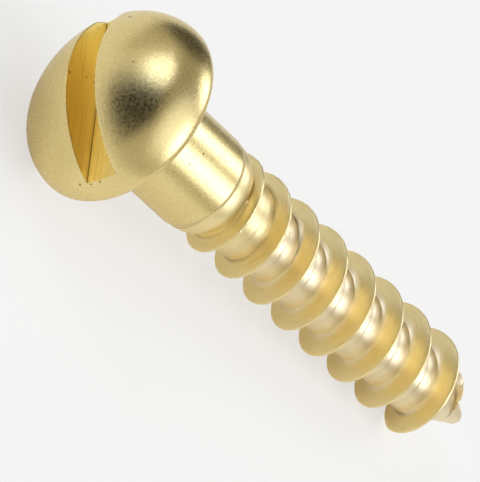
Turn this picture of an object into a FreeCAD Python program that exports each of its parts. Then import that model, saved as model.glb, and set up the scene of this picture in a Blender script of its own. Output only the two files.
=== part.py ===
import FreeCAD, Part
import os
import math
import Sketcher

# Round head wood screw, one piece of brass. Millimetres.
# Its axis is the body's Z: the flat under the head is at z = 0, the dome is
# below it and the point is at the far end. The slot runs along the body's X.
os.makedirs("parts", exist_ok=True)
doc = FreeCAD.newDocument("round_head_wood_screw")

# Driving sizes
sheet = doc.addObject("Spreadsheet::Sheet", "Sizes")
sizes = [
    ("head_across", 7.69),
    ("head_tall", 3.18),
    ("shoulder_round", 2.00),
    ("rim_round", 0.50),
    ("slot_wide", 1.28),
    ("slot_deep", 1.92),
    ("shank_across", 3.96),
    ("shank_long", 4.25),
    ("neck_long", 1.15),
    ("swell_across", 3.12),
    ("swell_long", 3.80),
    ("core_across", 2.56),
    ("thread_across", 4.00),
    ("thread_pitch", 1.79),
    ("crest_land", 0.10),
    ("flank_run", 0.235),
    ("crest_sink", 0.10),
    ("crest_late", 0.25),
    ("screw_long", 20.95),
    ("point_long", 2.52),
    ("point_blunt", 0.30),
]
for row, (name, value) in enumerate(sizes, start=1):
    sheet.set("A%d" % row, name)
    sheet.set("B%d" % row, str(value))
    sheet.setAlias("B%d" % row, name)

# Sizes that follow from them. The cone of the point starts where the thread has
# made whole turns from inside the shank, and its ridge leans in with the cone.
follows = [
    ("neck_end", "=shank_long + neck_long"),
    ("neck_drop", "=(shank_across - swell_across) / 2"),
    ("neck_round", "=(neck_drop * neck_drop + neck_long * neck_long) / (2 * neck_drop)"),
    ("swell_end", "=neck_end + swell_long"),
    ("cone_start", "=screw_long - point_long"),
    ("cone_end", "=screw_long - point_blunt"),
    ("full_turns", "=ceil((cone_start - shank_long) / thread_pitch)"),
    ("thread_start", "=cone_start - full_turns * thread_pitch"),
    ("thread_full", "=thread_start + thread_pitch"),
    ("thread_deep", "=(thread_across - core_across) / 2"),
    ("ridge_top", "=thread_across / 2"),
    ("ridge_foot", "=core_across / 2 - 0.15"),
    ("top_half", "=crest_land / 2"),
    ("foot_half", "=crest_land / 2 + flank_run * (ridge_top - ridge_foot) / thread_deep"),
    ("crest_rise", "=max(thread_across - shank_across; 0) / 2 + crest_sink"),
    ("rise_lean", "=atan(crest_rise / thread_pitch)"),
    ("point_run", "=cone_end - cone_start - foot_half"),
    ("point_lean", "=atan((core_across / 2 - point_blunt) / (cone_end - cone_start))"),
]
for row, (name, rule) in enumerate(follows, start=len(sizes) + 1):
    sheet.set("A%d" % row, name)
    sheet.set("B%d" % row, rule)
    sheet.setAlias("B%d" % row, name)
doc.recompute()
S = {name: float(getattr(sheet, name)) for name, value in sizes + follows}
head_r = S["head_across"] / 2
shank_r = S["shank_across"] / 2
swell_r = S["swell_across"] / 2
core_r = S["core_across"] / 2
thread_r = S["thread_across"] / 2

body = doc.addObject("PartDesign::Body", "Body")
body.Label = "wood_screw"


def plane(role):
    return [f for f in body.Origin.OriginFeatures if f.Role == role][0]


def new_sketch(name, role):
    sketch = body.newObject("Sketcher::SketchObject", name)
    sketch.AttachmentSupport = [(plane(role), "")]
    sketch.MapMode = "FlatFace"
    return sketch


def across(sketch, geo, point, rule):
    # how far a point lies from the sketch's upright axis, bound to a sheet rule
    if rule == "0":
        sketch.addConstraint(Sketcher.Constraint("PointOnObject", geo, point, -2))
        return
    value = sketch.getPoint(geo, point).x
    i = sketch.addConstraint(Sketcher.Constraint("DistanceX", -1, 1, geo, point, value))
    sketch.setExpression("Constraints[%d]" % i, rule)


def along(sketch, geo, point, rule):
    # how far a point lies from the sketch's level axis, bound to a sheet rule
    if rule == "0":
        sketch.addConstraint(Sketcher.Constraint("PointOnObject", geo, point, -1))
        return
    value = sketch.getPoint(geo, point).y
    ends = (-1, 1, geo, point) if value > 0 else (geo, point, -1, 1)
    i = sketch.addConstraint(Sketcher.Constraint("DistanceY", *ends, abs(value)))
    sketch.setExpression("Constraints[%d]" % i, rule)


def rounded(sketch, geo, name):
    i = sketch.addConstraint(Sketcher.Constraint("Radius", geo, S[name]))
    sketch.setExpression("Constraints[%d]" % i, "Sizes." + name)


def outline(sketch, corners):
    # a closed outline of straight edges through corners given as
    # (distance from the axis, place along the axis, their two sheet rules)
    points = [FreeCAD.Vector(x, y, 0) for x, y, rx, ry in corners]
    count = len(points)
    for k in range(count):
        sketch.addGeometry(Part.LineSegment(points[k], points[(k + 1) % count]), False)
    for k in range(count):
        sketch.addConstraint(Sketcher.Constraint("Coincident", k, 2, (k + 1) % count, 1))
    for k, (x, y, rx, ry) in enumerate(corners):
        across(sketch, k, 1, rx)
        along(sketch, k, 1, ry)


def turned(kind, name, sketch):
    feature = body.newObject(kind, name)
    feature.Profile = (sketch, [""])
    feature.ReferenceAxis = (sketch, ["V_Axis"])
    return feature


def middle_of_arc(centre, start, end, radius):
    out = ((start - centre) + (end - centre)).normalize()
    return centre + out * radius


# Blank: the dome is a wide crown arc that runs smoothly into a tighter shoulder,
# then rolls over a small round into the flat bearing face. Below it come the
# plain shank, the neck where the cutter came in, the core that swells towards
# the neck, and the point.
crown = FreeCAD.Vector(0, -S["head_tall"], 0)
widest = FreeCAD.Vector(head_r, -S["rim_round"], 0)
face_edge = FreeCAD.Vector(head_r - S["rim_round"], 0, 0)
shoulder_mid = FreeCAD.Vector(head_r - S["shoulder_round"], -S["rim_round"], 0)
rise = S["head_tall"] - S["rim_round"]
crown_round = (rise ** 2 + shoulder_mid.x ** 2 - S["shoulder_round"] ** 2) / (2 * (rise - S["shoulder_round"]))
crown_mid = FreeCAD.Vector(0, crown_round - S["head_tall"], 0)
meeting = shoulder_mid + (shoulder_mid - crown_mid).normalize() * S["shoulder_round"]
rim_mid = FreeCAD.Vector(head_r - S["rim_round"], -S["rim_round"], 0)
corners = [
    face_edge,
    FreeCAD.Vector(shank_r, 0, 0),
    FreeCAD.Vector(shank_r, S["shank_long"], 0),
    FreeCAD.Vector(swell_r, S["neck_end"], 0),
    FreeCAD.Vector(core_r, S["swell_end"], 0),
    FreeCAD.Vector(core_r, S["cone_start"], 0),
    FreeCAD.Vector(S["point_blunt"], S["cone_end"], 0),
    FreeCAD.Vector(0, S["screw_long"], 0),
]
neck_mid = FreeCAD.Vector(shank_r - S["neck_round"], S["shank_long"], 0)

blank = new_sketch("blank_outline", "XZ_Plane")
shoulder_at = middle_of_arc(shoulder_mid, meeting, widest, S["shoulder_round"])
blank.addGeometry(Part.Arc(crown, middle_of_arc(crown_mid, crown, meeting, crown_round), meeting), False)
blank.addGeometry(Part.Arc(meeting, shoulder_at, widest), False)
blank.addGeometry(Part.Arc(widest, middle_of_arc(rim_mid, widest, face_edge, S["rim_round"]), face_edge), False)
blank.addGeometry(Part.LineSegment(corners[0], corners[1]), False)
blank.addGeometry(Part.LineSegment(corners[1], corners[2]), False)
blank.addGeometry(Part.Arc(corners[2], middle_of_arc(neck_mid, corners[2], corners[3], S["neck_round"]), corners[3]), False)
for k in range(3, 7):
    blank.addGeometry(Part.LineSegment(corners[k], corners[k + 1]), False)
blank.addGeometry(Part.LineSegment(corners[7], crown), False)
blank.addConstraint(Sketcher.Constraint("Tangent", 0, 2, 1, 1))
blank.addConstraint(Sketcher.Constraint("Tangent", 4, 2, 5, 1))
for k in (1, 2, 3, 5, 6, 7, 8, 9, 10):
    blank.addConstraint(Sketcher.Constraint("Coincident", k, 2, (k + 1) % 11, 1))
across(blank, 0, 3, "0")
across(blank, 0, 1, "0")
along(blank, 0, 1, "Sizes.head_tall")
along(blank, 1, 3, "Sizes.rim_round")
rounded(blank, 1, "shoulder_round")
across(blank, 1, 2, "Sizes.head_across / 2")
along(blank, 1, 2, "Sizes.rim_round")
across(blank, 2, 3, "Sizes.head_across / 2 - Sizes.rim_round")
along(blank, 2, 3, "Sizes.rim_round")
across(blank, 3, 1, "Sizes.head_across / 2 - Sizes.rim_round")
across(blank, 3, 2, "Sizes.shank_across / 2")
along(blank, 3, 2, "0")
across(blank, 4, 2, "Sizes.shank_across / 2")
along(blank, 4, 2, "Sizes.shank_long")
across(blank, 6, 1, "Sizes.swell_across / 2")
along(blank, 6, 1, "Sizes.neck_end")
across(blank, 7, 1, "Sizes.core_across / 2")
along(blank, 7, 1, "Sizes.swell_end")
across(blank, 8, 1, "Sizes.core_across / 2")
along(blank, 8, 1, "Sizes.cone_start")
across(blank, 9, 1, "Sizes.point_blunt")
along(blank, 9, 1, "Sizes.cone_end")
across(blank, 10, 1, "0")
along(blank, 10, 1, "Sizes.screw_long")
turned("PartDesign::Revolution", "blank", blank)


def section(sketch, place, sunk=None):
    # the ridge's section: a narrow flat crest between two steep flanks, set a
    # little into the core, with its middle at the named place on the axis
    down = S[sunk] if sunk else 0
    less = " - Sizes." + sunk if sunk else ""
    foot = (S["ridge_foot"] - down, "Sizes.ridge_foot" + less)
    top = (S["ridge_top"] - down, "Sizes.ridge_top" + less)
    outline(sketch, [
        (foot[0], S[place] - S["foot_half"], foot[1], "Sizes.%s - Sizes.foot_half" % place),
        (top[0], S[place] - S["top_half"], top[1], "Sizes.%s - Sizes.top_half" % place),
        (top[0], S[place] + S["top_half"], top[1], "Sizes.%s + Sizes.top_half" % place),
        (foot[0], S[place] + S["foot_half"], foot[1], "Sizes.%s + Sizes.foot_half" % place),
    ])


def wound(name, sketch, height, angle="0"):
    helix = turned("PartDesign::AdditiveHelix", name, sketch)
    helix.Mode = "pitch-height-angle"
    helix.LeftHanded = False
    helix.setExpression("Pitch", "Sizes.thread_pitch")
    helix.setExpression("Height", height)
    helix.setExpression("Angle", angle)


# Thread, right-hand. The ridge starts buried in the shank and rises to its full
# height in one turn. It runs level down to the cone and winds in with the cone.
rising_ridge = new_sketch("rising_ridge_section", "XZ_Plane")
section(rising_ridge, "thread_start", "crest_rise")
wound("rising_thread", rising_ridge, "Sizes.thread_pitch", "Sizes.rise_lean")
point_ridge = new_sketch("point_ridge_section", "XZ_Plane")
section(point_ridge, "cone_start")
wound("point_thread", point_ridge, "Sizes.point_run", "-Sizes.point_lean")
ridge = new_sketch("ridge_section", "XZ_Plane")
section(ridge, "thread_full")
wound("thread", ridge, "Sizes.cone_start - Sizes.thread_full")
doc.recompute()
threaded = body.Shape.Volume

# Turning the point: it takes the crest down to the end in a straight cone.
point_cut = new_sketch("point_outline", "XZ_Plane")
wide = "Sizes.thread_across"
outline(point_cut, [
    (thread_r, S["cone_start"] + S["crest_late"], "Sizes.thread_across / 2", "Sizes.cone_start + Sizes.crest_late"),
    (S["point_blunt"] + 0.04, S["cone_end"], "Sizes.point_blunt + 0.04", "Sizes.cone_end"),
    (S["thread_across"], S["cone_end"], wide, "Sizes.cone_end"),
    (S["thread_across"], S["cone_start"] + S["crest_late"], wide, "Sizes.cone_start + Sizes.crest_late"),
])
turned("PartDesign::Groove", "point_turning", point_cut)
doc.recompute()
trimmed = body.Shape.Volume

# Drive slot: sawn straight across the dome, it runs out above the rim.
slot = new_sketch("slot_outline", "XY_Plane")
slot.setExpression(".AttachmentOffset.Base.z", "Sizes.slot_deep - Sizes.head_tall")
signs = [(-1, -1), (1, -1), (1, 1), (-1, 1)]
ends = [FreeCAD.Vector(a * S["head_across"], b * S["slot_wide"] / 2, 0) for a, b in signs]
for k in range(4):
    slot.addGeometry(Part.LineSegment(ends[k], ends[(k + 1) % 4]), False)
for k in range(4):
    slot.addConstraint(Sketcher.Constraint("Coincident", k, 2, (k + 1) % 4, 1))
slot.addConstraint(Sketcher.Constraint("Horizontal", 0))
slot.addConstraint(Sketcher.Constraint("Horizontal", 2))
slot.addConstraint(Sketcher.Constraint("Vertical", 1))
slot.addConstraint(Sketcher.Constraint("Symmetric", 0, 1, 2, 1, -1, 1))
slot_run = slot.addConstraint(Sketcher.Constraint("DistanceX", 0, 1, 0, 2, 2 * S["head_across"]))
slot.setExpression("Constraints[%d]" % slot_run, "2 * Sizes.head_across")
slot_gap = slot.addConstraint(Sketcher.Constraint("DistanceY", 1, 1, 1, 2, S["slot_wide"]))
slot.setExpression("Constraints[%d]" % slot_gap, "Sizes.slot_wide")
cut = body.newObject("PartDesign::Pocket", "drive_slot")
cut.Profile = (slot, [""])
cut.Type = "ThroughAll"
doc.recompute()
slotted = body.Shape.Volume

for thing in doc.Objects:
    bad = [state for state in thing.State if state in ("Invalid", "Error")]
    if bad:
        raise RuntimeError("%s is %s" % (thing.Name, ", ".join(bad)))
if body.Shape.isNull() or not body.Shape.isValid():
    raise RuntimeError("the screw is not a valid solid")
if len(body.Shape.Solids) != 1:
    raise RuntimeError("the screw is %d solids" % len(body.Shape.Solids))
if not slotted < trimmed < threaded:
    raise RuntimeError("the turning or the slot took nothing away")

# The screw lies as it comes to rest: on the head's rim and on a crest near the
# point, with its axis leaning down to the point and its slot level. The body's
# Y points down, so the lean is where head and thread reach equally far down.
points = body.Shape.tessellate(0.005)[0]
head_points = [(q.y, q.z) for q in points if q.z < 0.01]
thread_points = [(q.y, q.z) for q in points if q.z > S["shank_long"]]
shallow, steep = 0.0, math.radians(30)
for step in range(40):
    lean = (shallow + steep) / 2
    head_down = max(y * math.cos(lean) + z * math.sin(lean) for y, z in head_points)
    thread_down = max(y * math.cos(lean) + z * math.sin(lean) for y, z in thread_points)
    if thread_down < head_down:
        shallow = lean
    else:
        steep = lean
axis = FreeCAD.Vector(math.cos(lean), 0, -math.sin(lean))
side = FreeCAD.Vector(0, -1, 0)
turn = FreeCAD.Rotation(side, axis.cross(side), axis, "ZXY")
placed = [turn.multVec(q) for q in points]
centre = [(min(q[k] for q in placed) + max(q[k] for q in placed)) / 2 for k in (0, 1)]
lowest = min(q.z for q in placed)
body.Placement = FreeCAD.Placement(FreeCAD.Vector(-centre[0], -centre[1], -lowest), turn)
doc.recompute()
print("lean %.4f deg, moved %.4f %.4f %.4f" % (math.degrees(lean), -centre[0], -centre[1], -lowest))

shape = body.Shape
if shape.isNull() or not shape.isValid():
    raise RuntimeError("the placed screw is not valid")
shape.exportStep("parts/%s.step" % body.Label)
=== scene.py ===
import math
import bmesh
import bpy
from mathutils import Matrix, Vector


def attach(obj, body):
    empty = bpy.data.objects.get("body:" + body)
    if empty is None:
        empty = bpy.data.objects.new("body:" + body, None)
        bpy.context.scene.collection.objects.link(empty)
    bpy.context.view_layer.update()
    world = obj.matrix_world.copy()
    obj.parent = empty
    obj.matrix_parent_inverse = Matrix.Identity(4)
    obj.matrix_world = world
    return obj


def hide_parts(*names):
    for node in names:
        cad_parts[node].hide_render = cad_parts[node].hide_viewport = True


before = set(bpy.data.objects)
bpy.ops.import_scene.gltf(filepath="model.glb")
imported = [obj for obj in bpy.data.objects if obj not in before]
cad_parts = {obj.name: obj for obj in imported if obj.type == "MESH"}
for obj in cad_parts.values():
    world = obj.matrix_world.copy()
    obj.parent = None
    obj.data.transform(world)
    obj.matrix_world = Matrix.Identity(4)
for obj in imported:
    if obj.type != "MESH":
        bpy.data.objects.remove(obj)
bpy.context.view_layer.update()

# How the screw lies: on the rim of its head and on a crest near the point, its
# axis leaning down to the point and its slot level. In its own frame, in
# millimetres, the axis is Z, the flat under the head is z = 0, the slot is X.
LEAN = math.radians(5.8540)
REST_PLACE = Vector((-8.8272, 0.0001, 3.7765))
MM = 0.001
turn_to_world = Matrix((
    (0, -math.sin(LEAN), math.cos(LEAN)),
    (-1, 0, 0),
    (0, -math.cos(LEAN), -math.sin(LEAN)),
))
screw_to_world = Matrix.Scale(MM, 4) @ Matrix.Translation(REST_PLACE) @ turn_to_world.to_4x4()

# The camera looks along the screw from in front of its head, as in the
# photograph. Its axes and place are given in the screw's own frame.
camera_right = Vector((-0.09460689, -0.81399026, 0.57312249))
camera_down = Vector((0.79918818, 0.28117101, 0.5312637))
camera_ahead = Vector((-0.59358891, 0.50829393, 0.62393068))
head_from_camera = Vector((-3.9087, -4.4893, 576.6983))
camera_place = -(
    camera_right * head_from_camera.x
    + camera_down * head_from_camera.y
    + camera_ahead * head_from_camera.z
)
# A long lens from far off: the photograph shows hardly any perspective.
camera_data = bpy.data.cameras.new("camera")
camera_data.lens = 1195.02
camera_data.sensor_width = 36
camera = bpy.data.objects.new("camera", camera_data)
bpy.context.collection.objects.link(camera)
camera_axes = [turn_to_world @ axis for axis in (camera_right, -camera_down, -camera_ahead)]
camera_turn = Matrix(camera_axes).transposed().to_4x4()
camera.matrix_world = Matrix.Translation(screw_to_world @ camera_place) @ camera_turn
bpy.context.scene.camera = camera

# Head and plain shank, brass, turned from round wire. The dome is a wide crown
# that runs into a tighter shoulder and rolls under at the rim, and the drive
# slot is sawn across it, with edges just broken.
HEAD_RADIUS = 3.845
HEAD_TALL = 3.18
SHOULDER_ROUND = 2.00
RIM_ROUND = 0.50
SLOT_HALF = 0.64
SLOT_FLOOR = -1.26
SLOT_EDGE_ROUND = 0.02
SHANK_RADIUS = 1.98
UNDER_HEAD_FILLET = 0.10
SHANK_MEETS_THREAD = 3.40
# Steps of the mesh: columns round the axis, rows along it.
COLUMNS = 192
SLOT_COLUMNS = 10
EDGE_COLUMNS = 3
DOME_COLUMNS = 80
DOME_ROWS = 56
WALL_ROWS = 12
SHOULDER_ROWS = 8
RIM_ROWS = 12
FACE_ROWS = 8
FILLET_ROWS = 5
SHANK_ROWS = 14

shoulder_middle = HEAD_RADIUS - SHOULDER_ROUND
dome_rise = HEAD_TALL - RIM_ROUND
crown_squares = dome_rise ** 2 + shoulder_middle ** 2 - SHOULDER_ROUND ** 2
crown_round = crown_squares / (2 * (dome_rise - SHOULDER_ROUND))
crown_middle = crown_round - HEAD_TALL
crown_end = math.atan2(shoulder_middle, crown_middle + RIM_ROUND)


def dome_point(lean):
    # distance from the axis and place along it, where the dome's outward
    # direction leans this far from straight up the axis
    if lean < crown_end:
        return crown_round * math.sin(lean), crown_middle - crown_round * math.cos(lean)
    if lean < math.pi / 2:
        return shoulder_middle + SHOULDER_ROUND * math.sin(lean), -RIM_ROUND - SHOULDER_ROUND * math.cos(lean)
    return HEAD_RADIUS - RIM_ROUND + RIM_ROUND * math.sin(lean), -RIM_ROUND - RIM_ROUND * math.cos(lean)


def spread(first, last, steps):
    return [first + (last - first) * k / steps for k in range(steps + 1)]


broken_half = SLOT_HALF + SLOT_EDGE_ROUND
lean_first = math.asin(broken_half / crown_round)
lean_floor = math.acos((-RIM_ROUND - SLOT_FLOOR) / SHOULDER_ROUND)
dome_rows = [dome_point(lean) for lean in spread(lean_first, lean_floor, DOME_ROWS)]
floor_radius = dome_rows[-1][0]

blank = bmesh.new()
map_layer = blank.loops.layers.uv.new("turned_map")


def grid_faces(rows):
    for upper, lower in zip(rows, rows[1:]):
        for k in range(len(upper) - 1):
            blank.faces.new((upper[k], upper[k + 1], lower[k + 1], lower[k]))


dome_ends = {}
for side in (1, -1):
    rows = []
    for radius, place in dome_rows:
        first = math.asin(min(broken_half / radius, 1))
        reach = math.sqrt(max(radius ** 2 - broken_half ** 2, 0))
        across_slot = []
        for step in range(EDGE_COLUMNS):
            bend = math.pi / 2 * (1 - step / EDGE_COLUMNS)
            drop = min(SLOT_EDGE_ROUND * (1 - math.cos(bend)), SLOT_FLOOR - place)
            across_slot.append((broken_half - SLOT_EDGE_ROUND * math.sin(bend), place + drop))
        row = [(reach, side * y, z) for y, z in across_slot]
        for angle in spread(first, math.pi - first, DOME_COLUMNS):
            row.append((radius * math.cos(angle), side * radius * math.sin(angle), place))
        row += [(-reach, side * y, z) for y, z in reversed(across_slot)]
        rows.append([blank.verts.new(point) for point in row])
    grid_faces(rows)
    dome_ends[side] = rows[-1]
    for edge in (0, -1):
        wall = []
        for row in rows:
            top = row[edge].co
            wall.append([blank.verts.new((top.x, top.y, z)) for z in spread(top.z, SLOT_FLOOR, WALL_ROWS)])
        grid_faces(wall)

# Floor of the slot, whose ends follow the dome's outline.
floor_reach = [math.sqrt(max(radius ** 2 - broken_half ** 2, 0)) for radius, place in dome_rows]
floor_steps = [x / floor_reach[-1] for x in floor_reach]
floor_steps = [-x for x in reversed(floor_steps[1:])] + floor_steps
floor = []
for step in floor_steps:
    row = []
    for y in spread(-SLOT_HALF, SLOT_HALF, SLOT_COLUMNS):
        end = math.sqrt(floor_radius ** 2 - (y * broken_half / SLOT_HALF) ** 2)
        row.append(blank.verts.new((step * end, y, SLOT_FLOOR)))
    floor.append(row)
grid_faces(floor)

# Rings below the slot: shoulder, rim, bearing face, fillet and shank. They start
# with the slot's uneven columns and even out on the way to the rim.
ring = floor[-1] + dome_ends[1][1:] + floor[0][-2::-1] + dome_ends[-1][-2:0:-1]
uneven = [math.atan2(v.co.y, v.co.x) % (2 * math.pi) for v in ring]
uneven[:SLOT_COLUMNS // 2] = [angle - 2 * math.pi for angle in uneven[:SLOT_COLUMNS // 2]]
even = [2 * math.pi * (k - SLOT_COLUMNS / 2) / COLUMNS for k in range(COLUMNS)]
profile = [dome_point(lean) for lean in spread(lean_floor, math.pi / 2, SHOULDER_ROWS)]
evening = spread(0, 1, SHOULDER_ROWS)
profile += [dome_point(lean) for lean in spread(math.pi / 2, math.pi, RIM_ROWS)[1:]]
fillet_edge = SHANK_RADIUS + UNDER_HEAD_FILLET
profile += [(radius, 0) for radius in spread(HEAD_RADIUS - RIM_ROUND, fillet_edge, FACE_ROWS)[1:]]
for bend in spread(0, math.pi / 2, FILLET_ROWS)[1:]:
    inward, down = UNDER_HEAD_FILLET * math.sin(bend), UNDER_HEAD_FILLET * (1 - math.cos(bend))
    profile.append((fillet_edge - inward, down))
profile += [(SHANK_RADIUS, z) for z in spread(UNDER_HEAD_FILLET, SHANK_MEETS_THREAD, SHANK_ROWS)[1:]]
evening += [1] * (len(profile) - len(evening))
rings = [ring + ring[:1]]
for (radius, place), share in zip(profile[1:], evening[1:]):
    angles = [a + (b - a) * share for a, b in zip(uneven, even)]
    row = [blank.verts.new((radius * math.cos(a), radius * math.sin(a), place)) for a in angles]
    rings.append(row + row[:1])
grid_faces(rings)

# Points that fall together in the slot's corners are joined, and faces turned out.
bmesh.ops.remove_doubles(blank, verts=blank.verts, dist=1e-4)
bmesh.ops.dissolve_degenerate(blank, edges=blank.edges, dist=1e-5)
bmesh.ops.recalc_face_normals(blank, faces=blank.faces)
# The map: the angle round the axis, and a place down the profile.
for face in blank.faces:
    around = [math.atan2(loop.vert.co.y, loop.vert.co.x) for loop in face.loops]
    for loop, angle in zip(face.loops, around):
        if max(around) - min(around) > math.pi and angle < 0:
            angle += 2 * math.pi
        radius = math.hypot(loop.vert.co.x, loop.vert.co.y)
        loop[map_layer].uv = (angle, radius + loop.vert.co.z)
blank_mesh = bpy.data.meshes.new("blank")
blank.to_mesh(blank_mesh)
blank.free()


# Threaded length, brass, one start and right-hand, cut with a square-shouldered
# tool: a narrow crest between steep flanks on a core that swells towards the
# shank. The ridge rises out of the shank in one turn and winds in at the point.
sizes = {
    "Pitch": 1.79,
    "Thread start": 4.11,
    "Crest radius": 2.00,
    "Crest half": 0.05,
    "Crest edge round": 0.10,
    "Flank slope": 3.064,
    "Root round": 0.03,
    "Rise": 0.12,
    "Shank radius": SHANK_RADIUS,
    "Shank end": 4.25,
    "Neck step": 0.05,
    "Neck step long": 0.12,
    "Neck long": 1.15,
    "Neck drop": 0.37,
    "Neck bend": 3.2,
    "Late start": 0.26,
    "Late until": 0.62,
    "Late no more": 0.84,
    "Swell end": 9.20,
    "Swell drop": 0.28,
    "Cone start": 18.43,
    "Cone end": 20.65,
    "Cone drop": 0.98,
    "Point end": 20.95,
    "Point radius": 0.30,
    "Crest cut start": 18.68,
    "Crest cut slope": 0.8426,
    "Run-out start": 19.45,
    "Run-out slope": 0.9,
    "Burr tall": 0.030,
    "Burr long": 0.16,
}
# The thread is a sheet wound round the axis, one turn after another. It starts
# before the seam with the shank and ends past the point, and what lies beyond
# either falls together there and is merged.
ROWS_PER_TURN = 32
FIRST_TURN = -2
TURNS = 12
ROW_CROWDING = 1.8
SEAM_CLEARANCE = 0.03
MERGE_DISTANCE = 0.0005


def add_node(tree, kind, inputs=None, **settings):
    # one node with its settings, each input a value or a node or socket to link
    node = tree.nodes.new(kind)
    for name, value in settings.items():
        setattr(node, name, value)
    for name, value in (inputs or {}).items():
        if isinstance(value, bpy.types.Node):
            value = value.outputs[0]
        if isinstance(value, bpy.types.NodeSocket):
            tree.links.new(value, node.inputs[name])
        else:
            node.inputs[name].default_value = value
    return node


thread_tree = bpy.data.node_groups.new("wound_thread", "GeometryNodeTree")
thread_tree.interface.new_socket("Blank", in_out="INPUT", socket_type="NodeSocketGeometry")
for name, value in sizes.items():
    socket = thread_tree.interface.new_socket(name, in_out="INPUT", socket_type="NodeSocketFloat")
    socket.default_value = value
thread_tree.interface.new_socket("Finish", in_out="INPUT", socket_type="NodeSocketMaterial")
thread_tree.interface.new_socket("Screw", in_out="OUTPUT", socket_type="NodeSocketGeometry")
given = add_node(thread_tree, "NodeGroupInput").outputs
sheet = add_node(thread_tree, "GeometryNodeMeshGrid", {
    "Size X": 1, "Size Y": 1, "Vertices X": COLUMNS + 1, "Vertices Y": ROWS_PER_TURN * TURNS + 1})
sheet_place = add_node(thread_tree, "GeometryNodeInputPosition")
on_sheet = add_node(thread_tree, "ShaderNodeSeparateXYZ", {0: sheet_place})

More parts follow.
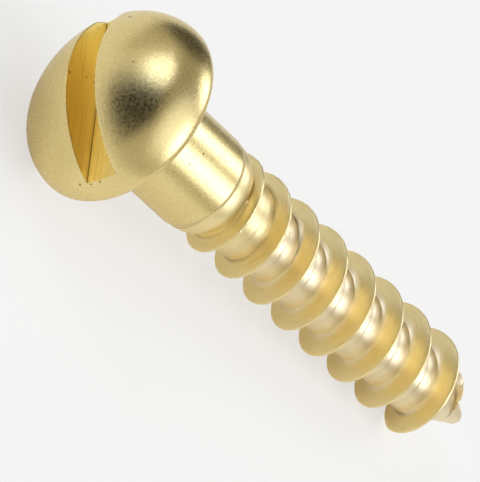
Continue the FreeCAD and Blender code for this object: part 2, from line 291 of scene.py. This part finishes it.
# The rule that places each point of the sheet, step by step. A step's values are
# numbers, inputs of the tree or earlier steps, by name.
rule_steps = (
    ("share round", "ADD", "sheet X", 0.5),
    ("angle", "MULTIPLY", "share round", 2 * math.pi),
    # Rows crowd towards the crest: how far a point lies beside the ridge's middle
    # line is a power of its row's share of the way out.
    ("turn", "MULTIPLY_ADD", "sheet Y", TURNS, TURNS / 2 + FIRST_TURN),
    ("whole turn", "ROUND", "turn"),
    ("beside", "SUBTRACT", "turn", "whole turn"),
    ("side of crest", "SIGN", "beside"),
    ("beside, plain", "ABSOLUTE", "beside"),
    ("beside, share", "MULTIPLY", "beside, plain", 2),
    ("crowded", "POWER", "beside, share", ROW_CROWDING),
    ("turn here", "ADD", "whole turn", "share round"),
    # The ridge starts a little further along than its pitch gives, and falls in
    # with it before the first turn is over.
    ("late", "SMOOTH RAMP", "turn here", "Late until", "Late no more", "Late start", 0),
    # Rows reach half way to the crest next to this one.
    ("next turn", "ADD", "turn here", "side of crest"),
    ("next late", "SMOOTH RAMP", "next turn", "Late until", "Late no more", "Late start", 0),
    ("late apart", "SUBTRACT", "next late", "late"),
    ("gap", "MULTIPLY_ADD", "late apart", "side of crest", "Pitch"),
    ("half gap", "MULTIPLY", "gap", 0.5),
    ("aside", "MULTIPLY", "crowded", "half gap"),
    ("even place", "MULTIPLY_ADD", "turn here", "Pitch", "Thread start"),
    ("crest place", "ADD", "even place", "late"),
    ("free place", "MULTIPLY_ADD", "side of crest", "aside", "crest place"),
    # Points that would fall on or just past the seam with the shank lie on it.
    ("past seam", "SUBTRACT", "free place", SHANK_MEETS_THREAD),
    ("clear of seam", "GREATER_THAN", "past seam", SEAM_CLEARANCE),
    ("place, not before", "MULTIPLY_ADD", "past seam", "clear of seam", SHANK_MEETS_THREAD),
    ("place", "MINIMUM", "place, not before", "Point end"),
    # Core: shank, small step, neck that bends down, swell, straight core, cone,
    # blunt point.
    ("step end", "ADD", "Shank end", "Neck step long"),
    ("neck end", "ADD", "Shank end", "Neck long"),
    ("neck share", "RAMP", "place", "Shank end", "neck end", 0, 1),
    ("neck bent", "POWER", "neck share", "Neck bend"),
    ("neck drop", "MULTIPLY", "neck bent", "Neck drop"),
    ("step drop", "RAMP", "place", "Shank end", "step end", 0, "Neck step"),
    ("swell drop", "RAMP", "place", "neck end", "Swell end", 0, "Swell drop"),
    ("cone drop", "RAMP", "place", "Cone start", "Cone end", 0, "Cone drop"),
    ("point drop", "RAMP", "place", "Cone end", "Point end", 0, "Point radius"),
    ("core 1", "SUBTRACT", "Shank radius", "neck drop"),
    ("core 2", "SUBTRACT", "core 1", "step drop"),
    ("core 3", "SUBTRACT", "core 2", "swell drop"),
    ("core 4", "SUBTRACT", "core 3", "cone drop"),
    ("core", "SUBTRACT", "core 4", "point drop"),
    # Crest: it rises over the first turn and is cut down on the point.
    ("rise left", "RAMP", "turn here", 0, 1, "Rise", 0),
    ("crest full", "SUBTRACT", "Crest radius", "rise left"),
    ("past cut", "SUBTRACT", "place", "Crest cut start"),
    ("past cut only", "MAXIMUM", "past cut", 0),
    ("cut down", "MULTIPLY", "past cut only", "Crest cut slope"),
    ("crest cut", "SUBTRACT", "crest full", "cut down"),
    ("past run-out", "SUBTRACT", "place", "Run-out start"),
    ("past run-out only", "MAXIMUM", "past run-out", 0),
    ("run down", "MULTIPLY", "past run-out only", "Run-out slope"),
    ("crest", "SUBTRACT", "crest cut", "run down"),
    # Flanks: they follow the cone of the core.
    ("cone long", "SUBTRACT", "Cone end", "Cone start"),
    ("cone slope", "DIVIDE", "Cone drop", "cone long"),
    ("past cone", "SUBTRACT", "crest place", "Cone start"),
    ("past cone only", "MAXIMUM", "past cone", 0),
    ("cone sink", "MULTIPLY", "past cone only", "cone slope"),
    ("flank top", "SUBTRACT", "crest full", "cone sink"),
    ("off crest", "SUBTRACT", "aside", "Crest half"),
    ("down flank", "MULTIPLY", "off crest", "Flank slope"),
    ("flank", "SUBTRACT", "flank top", "down flank"),
    ("ridge", "SMOOTH_MIN", "crest", "flank", "Crest edge round"),
    ("bare radius", "SMOOTH_MAX", "core", "ridge", "Root round"),
    ("above core", "SUBTRACT", "ridge", "core"),
    # Painted shade: the corner where flank meets core is marked, and the material paints a dark line there in
    # place of the shade in that crease.
    ("from corner", "ABSOLUTE", "above core"),
    ("painted corner shade", "SMOOTH RAMP", "from corner", 0.01, 0.09, 1, 0),
    # The tool leaves small burrs along the crest, rougher on the first turns.
    ("burrs a turn", "DIVIDE", 2 * math.pi * sizes["Crest radius"], "Burr long"),
    ("ragged", "NOISE", "turn here", "burrs a turn", 2, 0.6),
    ("ragged, about 0", "SUBTRACT", "ragged", 0.56),
    ("burr", "MULTIPLY", "ragged, about 0", "Burr tall"),
    ("on crest", "RAMP", "aside", 0.04, 0.12, 2, 0),
    ("early turns", "RAMP", "turn here", 2.5, 5, 1, 0.35),
    ("stands clear", "GREATER_THAN", "above core", 0.05),
    ("burr 1", "MULTIPLY", "burr", "on crest"),
    ("burr 2", "MULTIPLY", "burr 1", "early turns"),
    ("radius", "MULTIPLY_ADD", "burr 2", "stands clear", "bare radius"),
    ("cosine", "COSINE", "angle"),
    ("sine", "SINE", "angle"),
    ("across", "MULTIPLY", "radius", "cosine"),
    ("up", "MULTIPLY", "radius", "sine"),
    # Second coordinate of the map: the way down the profile, so that turning
    # marks run round at an even spacing on flanks and core.
    ("depth", "SUBTRACT", "Crest radius", "radius"),
    ("profile place", "MULTIPLY_ADD", "side of crest", "depth", "free place"),
)
ramp_inputs = ("Value", "From Min", "From Max", "To Min", "To Max")
other_kinds = {
    "RAMP": ("ShaderNodeMapRange", ramp_inputs, {}),
    "SMOOTH RAMP": ("ShaderNodeMapRange", ramp_inputs, {"interpolation_type": "SMOOTHSTEP"}),
    "NOISE": ("ShaderNodeTexNoise", ("W", "Scale", "Detail", "Roughness"), {"noise_dimensions": "1D"}),
}
known = {name: given[name] for name in sizes}
known["sheet X"] = on_sheet.outputs["X"]
known["sheet Y"] = on_sheet.outputs["Y"]
for name, operation, *values in rule_steps:
    values = [known.get(value, value) for value in values]
    if operation in other_kinds:
        kind, input_names, settings = other_kinds[operation]
        known[name] = add_node(thread_tree, kind, dict(zip(input_names, values)), **settings)
    else:
        known[name] = add_node(thread_tree, "ShaderNodeMath", dict(enumerate(values)), operation=operation)

point = add_node(thread_tree, "ShaderNodeCombineXYZ", {
    "X": known["across"], "Y": known["up"], "Z": known["place"]})
turned_map = add_node(thread_tree, "ShaderNodeCombineXYZ", {"X": known["angle"], "Y": known["profile place"]})
mapped = add_node(
    thread_tree, "GeometryNodeStoreNamedAttribute",
    {"Geometry": sheet.outputs["Mesh"], "Name": "turned_map", "Value": turned_map},
    data_type="FLOAT2", domain="CORNER")
# The mark for the painted shade in the root's corners is kept on the points.
shade_marked = add_node(
    thread_tree, "GeometryNodeStoreNamedAttribute",
    {"Geometry": mapped, "Name": "painted_corner_shade", "Value": known["painted corner shade"]},
    data_type="FLOAT", domain="POINT")
wound = add_node(thread_tree, "GeometryNodeSetPosition", {"Geometry": shade_marked, "Position": point})
joined = add_node(thread_tree, "GeometryNodeJoinGeometry", {"Geometry": given["Blank"]})
thread_tree.links.new(wound.outputs["Geometry"], joined.inputs["Geometry"])
merged = add_node(thread_tree, "GeometryNodeMergeByDistance", {
    "Geometry": joined, "Distance": MERGE_DISTANCE})
real = add_node(thread_tree, "GeometryNodeRealizeInstances", {"Geometry": merged})
finished = add_node(thread_tree, "GeometryNodeSetMaterial", {"Geometry": real, "Material": given["Finish"]})
add_node(thread_tree, "NodeGroupOutput", {"Screw": finished})


# Brass, turned and tumbled bright, uncoated: a pale yellow metal with a satin
# grain, so its reflections are soft and its colour deepens where it sees itself.
def linear(hex_colour):
    parts = [int(hex_colour[k:k + 2], 16) / 255 for k in (1, 3, 5)]
    return [c / 12.92 if c <= 0.04045 else ((c + 0.055) / 1.055) ** 2.4 for c in parts] + [1]


brass = bpy.data.materials.new("turned_brass")
brass.use_nodes = True
brass_tree = brass.node_tree
brass_shader = brass_tree.nodes["Principled BSDF"]
brass_shader.inputs["Metallic"].default_value = 1

# Place in the screw's own frame, in millimetres.
world_to_turn = turn_to_world.transposed()
screw_place = add_node(brass_tree, "ShaderNodeMapping", {
    "Vector": add_node(brass_tree, "ShaderNodeTexCoord").outputs["Object"],
    "Location": -(world_to_turn @ REST_PLACE),
    "Rotation": world_to_turn.to_euler("XYZ"),
    "Scale": (1 / MM, 1 / MM, 1 / MM)})
screw_parts = add_node(brass_tree, "ShaderNodeSeparateXYZ", {0: screw_place})
turned_place = add_node(brass_tree, "ShaderNodeUVMap", uv_map="turned_map")

# Tumbled grain, about 0.1 mm, and broad clouds of handling, about 1 mm.
grain = add_node(brass_tree, "ShaderNodeTexNoise", {
    "Vector": screw_place, "Scale": 9, "Detail": 3, "Roughness": 0.65})
clouds = add_node(brass_tree, "ShaderNodeTexNoise", {
    "Vector": screw_place, "Scale": 0.9, "Detail": 3, "Roughness": 0.55})

# Turning marks run round the thread, about 0.1 mm apart and faint.
marks_place = add_node(brass_tree, "ShaderNodeMapping", {"Vector": turned_place, "Scale": (1.1, 9, 1)})
turning_marks = add_node(brass_tree, "ShaderNodeTexNoise", {
    "Vector": marks_place, "Scale": 1, "Detail": 2, "Roughness": 0.7})
turning_marks = add_node(brass_tree, "ShaderNodeMapRange", {
    "Value": turning_marks, "To Min": 0.14, "To Max": 0.86})
on_thread = add_node(brass_tree, "ShaderNodeMapRange", {
    "Value": screw_parts.outputs["Z"], "From Min": 4.2, "From Max": 4.4})

# Saw marks run along the slot, about 0.08 mm apart.
saw_place = add_node(brass_tree, "ShaderNodeMapping", {"Vector": screw_place, "Scale": (0.2, 12, 12)})
saw_marks = add_node(brass_tree, "ShaderNodeTexNoise", {
    "Vector": saw_place, "Scale": 1, "Detail": 4, "Roughness": 0.85})
saw_marks = add_node(brass_tree, "ShaderNodeMapRange", {
    "Value": saw_marks, "From Min": 0.38, "From Max": 0.62, "To Min": 0.33, "To Max": 0.67})
from_middle = add_node(brass_tree, "ShaderNodeMath", {0: screw_parts.outputs["Y"]}, operation="ABSOLUTE")
between_walls = add_node(brass_tree, "ShaderNodeMath", {
    0: from_middle, 1: SLOT_HALF + 0.01}, operation="LESS_THAN")
above_floor = add_node(brass_tree, "ShaderNodeMath", {
    0: screw_parts.outputs["Z"], 1: SLOT_FLOOR + 0.01}, operation="LESS_THAN")
in_slot = add_node(brass_tree, "ShaderNodeMath", {0: between_walls, 1: above_floor}, operation="MULTIPLY")
cut_faces = add_node(brass_tree, "ShaderNodeMath", {0: on_thread, 1: in_slot}, operation="MAXIMUM")

marks = add_node(brass_tree, "ShaderNodeMix", {
    "Factor": on_thread.outputs["Result"], "A": 0.5, "B": turning_marks.outputs["Result"]}, data_type="FLOAT")
marks = add_node(brass_tree, "ShaderNodeMix", {
    "Factor": in_slot, "A": marks, "B": saw_marks}, data_type="FLOAT")
grain_here = add_node(brass_tree, "ShaderNodeMix", {
    "Factor": cut_faces, "A": grain, "B": 0.5}, data_type="FLOAT")
grain_bump = add_node(brass_tree, "ShaderNodeBump", {
    "Height": grain_here, "Strength": 1, "Distance": 0.0055 * MM})
marks_bump = add_node(brass_tree, "ShaderNodeBump", {
    "Height": marks, "Strength": 1, "Distance": 0.013 * MM, "Normal": grain_bump})
rough = add_node(brass_tree, "ShaderNodeMapRange", {
    "Value": grain_here, "From Min": 0.3, "From Max": 0.7, "To Min": 0.22, "To Max": 0.34})
# The tool left the thread a little duller than the tumbled head.
rougher = add_node(brass_tree, "ShaderNodeMath", {
    0: on_thread, 1: 0.1, 2: rough}, operation="MULTIPLY_ADD")
brass_tree.links.new(rougher.outputs["Value"], brass_shader.inputs["Roughness"])

# Painted shade: a dark line 0.05 mm wide is painted into the two corners of the slot,
# where shade falls in the crease.
from_wall = add_node(brass_tree, "ShaderNodeMath", {0: SLOT_HALF, 1: from_middle}, operation="SUBTRACT")
from_floor = add_node(brass_tree, "ShaderNodeMath", {
    0: SLOT_FLOOR, 1: screw_parts.outputs["Z"]}, operation="SUBTRACT")
from_corner = add_node(brass_tree, "ShaderNodeCombineXYZ", {"X": from_wall, "Y": from_floor})
corner_gap = add_node(brass_tree, "ShaderNodeVectorMath", {0: from_corner}, operation="LENGTH")
painted_corner_shade = add_node(brass_tree, "ShaderNodeMapRange", {
    "Value": corner_gap.outputs["Value"], "From Min": 0.01, "From Max": 0.045, "To Min": 0.6, "To Max": 0})
dirt_and_painted_shade = add_node(brass_tree, "ShaderNodeMath", {0: painted_corner_shade, 1: in_slot}, operation="MULTIPLY")

# Painted shade: the same dark line darkens the corners of the thread's root, and a
# painted shadow of the small step darkens the ring where the shank ends.
root_corner_shade = add_node(brass_tree, "ShaderNodeAttribute", attribute_name="painted_corner_shade")
dirt_and_painted_shade = add_node(brass_tree, "ShaderNodeMath", {
    0: root_corner_shade.outputs["Fac"], 1: 0.5, 2: dirt_and_painted_shade}, operation="MULTIPLY_ADD")
past_ring = add_node(brass_tree, "ShaderNodeMath", {
    0: screw_parts.outputs["Z"], 1: sizes["Shank end"] + 0.01}, operation="SUBTRACT")
from_ring = add_node(brass_tree, "ShaderNodeMath", {0: past_ring}, operation="ABSOLUTE")
# Painted shadow of the step, a dark ring 0.05 mm each way.
painted_ring_shadow = add_node(brass_tree, "ShaderNodeMapRange", {
    "Value": from_ring, "From Min": 0, "From Max": 0.05, "To Min": 0.4, "To Max": 0})
dirt_and_painted_shade = add_node(brass_tree, "ShaderNodeMath", {0: painted_ring_shadow, 1: dirt_and_painted_shade}, operation="ADD")

# Small pits with dirt in them, where the photograph shows them. A noise shifts
# their edges by up to half of CROOK, in millimetres, so that none is round.
CROOK = 0.14
pits = (
    # place on the screw in mm, radius
    ((-2.54, -1.24, -2.27), 0.09),
    ((0.11, -2.02, -2.74), 0.05),
    ((-0.23, 0.67, -2.99), 0.08),
    ((-0.63, 0.64, -2.05), 0.06),
    ((-0.69, 0.64, -1.56), 0.06),
    ((1.75, 0.67, -2.71), 0.05),
    ((1.05, -0.70, -2.95), 0.05),
    ((3.69, 0.49, -1.19), 0.06),
    ((3.72, 0.10, -1.19), 0.06),
    ((3.58, 0.96, -1.24), 0.05),
    ((0.12, -3.54, -1.56), 0.06),
    ((0.87, -1.78, 2.18), 0.07),
    ((1.40, -1.40, 1.91), 0.05),
)
crooked = add_node(brass_tree, "ShaderNodeTexNoise", {"Vector": screw_place, "Scale": 8, "Detail": 1})
crooked_place = add_node(brass_tree, "ShaderNodeVectorMath", {
    0: crooked.outputs["Color"], 1: (CROOK, CROOK, CROOK), 2: screw_place}, operation="MULTIPLY_ADD")
for middle, radius in pits:
    gap = add_node(brass_tree, "ShaderNodeVectorMath", {
        0: crooked_place, 1: [part + CROOK / 2 for part in middle]}, operation="DISTANCE")
    pit = add_node(brass_tree, "ShaderNodeMapRange", {
        "Value": gap.outputs["Value"],
        "From Min": radius * 0.5, "From Max": radius, "To Min": 0.75, "To Max": 0})
    dirt_and_painted_shade = add_node(brass_tree, "ShaderNodeMath", {0: dirt_and_painted_shade, 1: pit}, operation="MAXIMUM")
# The pits are pressed in a little, and with them the lines of painted shade, which share their mask.
pit_bump = add_node(brass_tree, "ShaderNodeBump", {
    "Height": dirt_and_painted_shade, "Strength": 1, "Distance": -0.010 * MM, "Normal": marks_bump})
brass_tree.links.new(pit_bump.outputs["Normal"], brass_shader.inputs["Normal"])

# Colour: the head and shank a little cloudy from handling, the sawn slot a fresh yellow, the cut
# thread painted paler so that it looks more brightly lit, its root palest as a painted sheen for the bright
# light it mirrors, and darker in the deeper marks.
colour = add_node(brass_tree, "ShaderNodeMix", {
    "Factor": clouds, "A": linear("#EED58E"), "B": linear("#F4DFA0")}, data_type="RGBA")
streak = add_node(brass_tree, "ShaderNodeMapRange", {
    "Value": marks, "From Min": 0.32, "From Max": 0.44, "To Min": 0.4, "To Max": 0})
from_axis = add_node(brass_tree, "ShaderNodeVectorMath", {
    0: screw_place, 1: (1, 1, 0)}, operation="MULTIPLY")
from_axis = add_node(brass_tree, "ShaderNodeVectorMath", {0: from_axis}, operation="LENGTH")
# Painted sheen: the root of the thread is painted palest, in place of the bright light it mirrors.
root_share = add_node(brass_tree, "ShaderNodeMapRange", {
    "Value": from_axis.outputs["Value"], "From Min": 1.34, "From Max": 1.50, "To Min": 1, "To Max": 0})
painted_root_sheen = add_node(brass_tree, "ShaderNodeMath", {0: root_share, 1: on_thread}, operation="MULTIPLY")
fresh_slot = add_node(brass_tree, "ShaderNodeMix", {
    "Factor": in_slot, "A": colour.outputs["Result"], "B": linear("#FDE492")}, data_type="RGBA")
# Painted light: the cut thread is painted paler than the head so that it looks more brightly lit.
slot_and_brightened_thread = add_node(brass_tree, "ShaderNodeMix", {
    "Factor": on_thread, "A": fresh_slot.outputs["Result"], "B": linear("#FAE6AA")}, data_type="RGBA")
with_painted_root_sheen = add_node(brass_tree, "ShaderNodeMix", {
    "Factor": painted_root_sheen, "A": slot_and_brightened_thread.outputs["Result"], "B": linear("#F9E8C0")}, data_type="RGBA")
streaked = add_node(brass_tree, "ShaderNodeMix", {
    "Factor": streak, "A": with_painted_root_sheen.outputs["Result"], "B": linear("#C9A75C")}, data_type="RGBA")
# Dirt in the pits and the painted shade in corners and at the ring share this dark brown.
with_dirt_and_painted_shade = add_node(brass_tree, "ShaderNodeMix", {
    "Factor": dirt_and_painted_shade, "A": streaked.outputs["Result"], "B": linear("#7A5A22")}, data_type="RGBA")
brass_tree.links.new(with_dirt_and_painted_shade.outputs["Result"], brass_shader.inputs["Base Color"])

blank_object = bpy.data.objects.new("wood_screw_blank", blank_mesh)
bpy.context.collection.objects.link(blank_object)
winding = blank_object.modifiers.new("thread", "NODES")
winding.node_group = thread_tree
for item in thread_tree.interface.items_tree:
    if item.in_out == "INPUT" and item.name in sizes:
        winding[item.identifier] = float(sizes[item.name])
    if item.name == "Finish":
        winding[item.identifier] = brass
seen = blank_object.evaluated_get(bpy.context.evaluated_depsgraph_get())
screw_mesh = bpy.data.meshes.new_from_object(seen)
screw_mesh.name = "wood_screw_turned"
bpy.data.objects.remove(blank_object)
screw_mesh.transform(screw_to_world)
screw_mesh.shade_smooth()
screw_mesh.set_sharp_from_angle(angle=math.radians(40))
screw = bpy.data.objects.new("wood_screw_turned", screw_mesh)
bpy.context.collection.objects.link(screw)
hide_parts("wood_screw")
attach(screw, "root")

# Floor: a plain sheet of white card that the screw lies on. Plain white is mixed
# in, more than half where it is seen straight and a little in the metal, and the
# rest of it keeps the shadow.
STRAIGHT_WHITE = 0.6
MIRRORED_WHITE = 0.12
FLOOR_SIZE = 600
card = bpy.data.materials.new("white_card")
card.use_nodes = True
card_tree = card.node_tree
card_shader = card_tree.nodes["Principled BSDF"]
card_shader.inputs["Base Color"].default_value = linear("#FFFCF0")
card_shader.inputs["Roughness"].default_value = 0.8
ray = add_node(card_tree, "ShaderNodeLightPath").outputs
seen_mirrored = add_node(card_tree, "ShaderNodeMath", {
    0: ray["Is Glossy Ray"], 1: ray["Is Transmission Ray"]}, operation="MAXIMUM")
mirrored_share = add_node(card_tree, "ShaderNodeMath", {
    0: seen_mirrored, 1: MIRRORED_WHITE}, operation="MULTIPLY")
straight_share = add_node(card_tree, "ShaderNodeMath", {
    0: ray["Is Camera Ray"], 1: STRAIGHT_WHITE}, operation="MULTIPLY")
white_share = add_node(card_tree, "ShaderNodeMath", {
    0: mirrored_share, 1: straight_share}, operation="MAXIMUM")
plain_white = add_node(card_tree, "ShaderNodeEmission", {"Color": (1, 1, 1, 1), "Strength": 1})
card_mix = add_node(card_tree, "ShaderNodeMixShader", {0: white_share, 1: card_shader, 2: plain_white})
card_tree.links.new(card_mix.outputs[0], card_tree.nodes["Material Output"].inputs["Surface"])
bpy.ops.mesh.primitive_plane_add(size=FLOOR_SIZE * MM)
floor_card = bpy.context.object
floor_card.name = "floor_card"
floor_card.data.materials.append(card)

# Studio light, all soft and at a plain level: a warm grey room, a wide key panel
# high on the slot's near side, a small bright window behind the head, and a strip
# and a panel past the point.
ROOM_COLOUR = "#B6B2A8"
PANEL_COLOUR = "#DCE6FF"
soft_places = {
    # name: bearing, height, full within, gone past (degrees), level added
    "key_panel": (-68, 60, 10, 42, 0.95),
    "window": (145, 37, 4, 19, 2.6),
    "under_window": (150, 12, 4, 24, 0.3),
    "point_strip": (31, 41, 4, 20, 3.2),
    "point_panel": (-34, 37, 4, 25, 2.8),
}
# The dome mirrors the first two of these as its two dark spots.
dark_places = {
    # name: bearing, height, full within, gone past (degrees), share taken away
    "behind_camera": (-176, 24, 12, 44, 1.0),
    "across_from_key": (76, 14, 16, 36, 0.88),
    "overhead": (110, 75, 10, 45, 0.35),
}
world = bpy.data.worlds.new("studio")
bpy.context.scene.world = world
world.use_nodes = True
world_tree = world.node_tree
outward = add_node(world_tree, "ShaderNodeTexCoord").outputs["Generated"]


def share_of_place(bearing, height, full_within, gone_past):
    across, up = math.radians(bearing), math.radians(height)
    middle = (math.cos(up) * math.cos(across), math.cos(up) * math.sin(across), math.sin(up))
    toward = add_node(world_tree, "ShaderNodeVectorMath", {0: outward, 1: middle}, operation="DOT_PRODUCT")
    return add_node(world_tree, "ShaderNodeMapRange", {
        "Value": toward.outputs["Value"],
        "From Min": math.cos(math.radians(gone_past)),
        "From Max": math.cos(math.radians(full_within)),
    }, interpolation_type="SMOOTHSTEP")


light = linear(ROOM_COLOUR)[:3]
for bearing, height, full_within, gone_past, taken in dark_places.values():
    share = share_of_place(bearing, height, full_within, gone_past)
    left = add_node(world_tree, "ShaderNodeMath", {0: share, 1: -taken, 2: 1}, operation="MULTIPLY_ADD")
    light = add_node(world_tree, "ShaderNodeVectorMath", {0: light, "Scale": left}, operation="SCALE")
for bearing, height, full_within, gone_past, added in soft_places.values():
    share = share_of_place(bearing, height, full_within, gone_past)
    glow = [added * part for part in linear(PANEL_COLOUR)[:3]]
    light = add_node(world_tree, "ShaderNodeVectorMath", {
        0: share, 1: glow, 2: light}, operation="MULTIPLY_ADD")
background = world_tree.nodes["Background"]
world_tree.links.new(light.outputs[0], background.inputs["Color"])
bpy.context.scene.view_settings.view_transform = "Standard"
